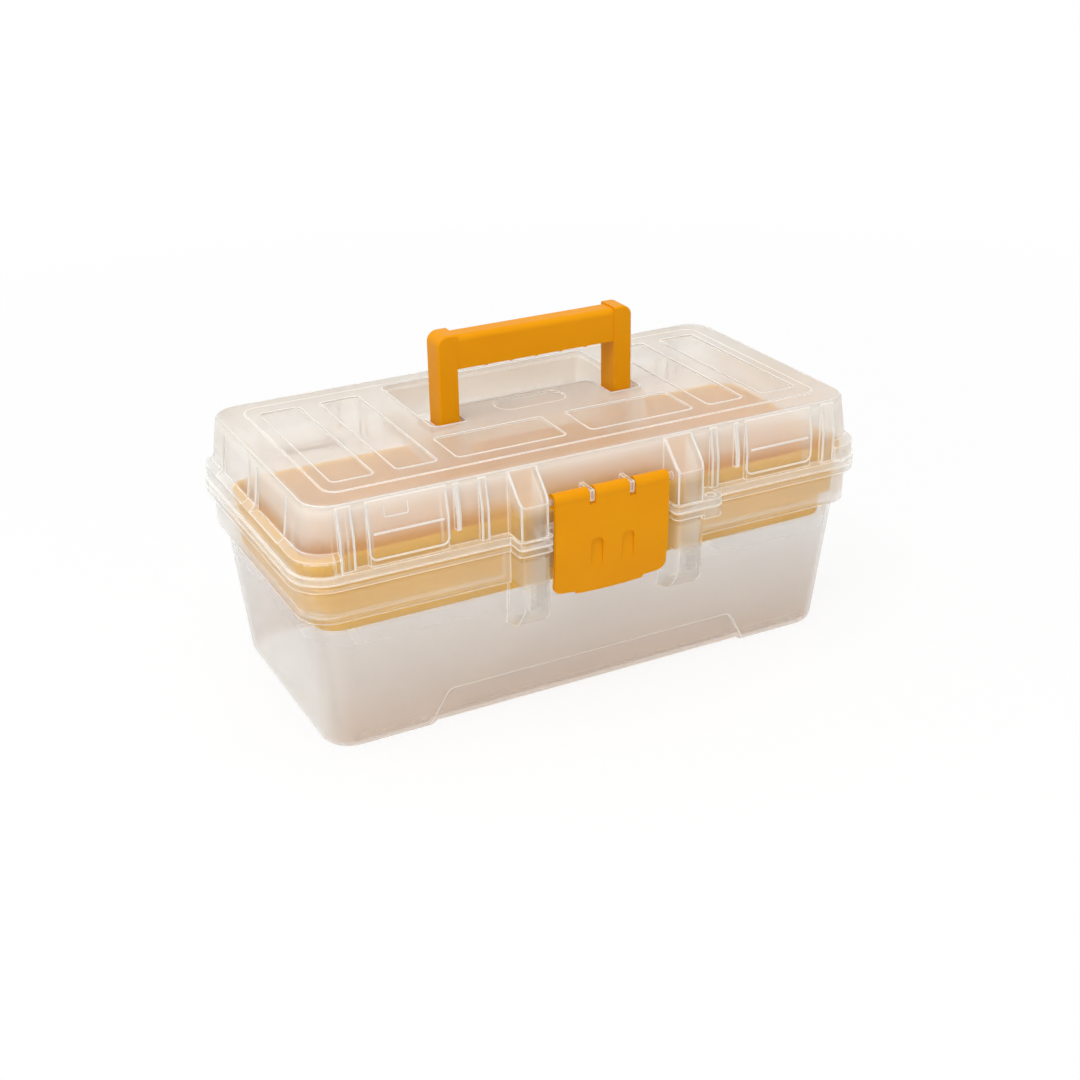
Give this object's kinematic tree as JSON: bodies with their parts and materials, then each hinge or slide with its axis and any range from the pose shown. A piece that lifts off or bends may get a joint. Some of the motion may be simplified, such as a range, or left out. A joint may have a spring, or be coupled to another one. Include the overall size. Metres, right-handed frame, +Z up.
{
  "type": "art supply box",
  "caption": "Translucent carry box for art supplies: hinged corrugated lid, fold-back carry handle, front latch with padlock eye, and a coloured lift-out tray inside.",
  "frame": {"origin": "on the floor under the middle of the box, midway between its ends and between the guard posts beside the latch and the hinge barrels", "axes": "+X along the length to the right, +Y from the latch to the hinges, +Z up"},
  "size_m": [0.35, 0.198, 0.2],
  "materials": {
    "clear_polypropylene": "frosted, translucent",
    "yellow_polypropylene": "moulded, satin",
    "steel_wire": "drawn wire"
  },
  "bodies": {
    "tub": {"tub": "clear_polypropylene", "hinge_pin_left": "steel_wire", "hinge_pin_right": "steel_wire"},
    "lid": {"lid": "clear_polypropylene"},
    "tray": {"tray": "yellow_polypropylene"},
    "handle": {"handle": "yellow_polypropylene"},
    "latch": {"latch": "yellow_polypropylene"}
  },
  "joints": [
    {"name": "lid_hinge", "type": "hinge", "parent": "tub", "child": "lid", "pos_m": [0, 0.0954, 0.10815], "axis": [-1, 0, 0], "range_deg": [0, 105]},
    {"name": "latch_swing", "type": "hinge", "parent": "lid", "child": "latch", "pos_m": [0, -0.091, 0.1288], "axis": [-1, 0, 0], "range_deg": [0, 110]},
    {"name": "handle_fold", "type": "hinge", "parent": "lid", "child": "handle", "pos_m": [0, 0.0005, 0.138], "axis": [-1, 0, 0], "range_deg": [0, 90]},
    {"name": "tray_slide", "type": "slide", "parent": "tub", "child": "tray", "axis": [0, 1, 0], "range_m": [0, 0.03]}
  ]
}
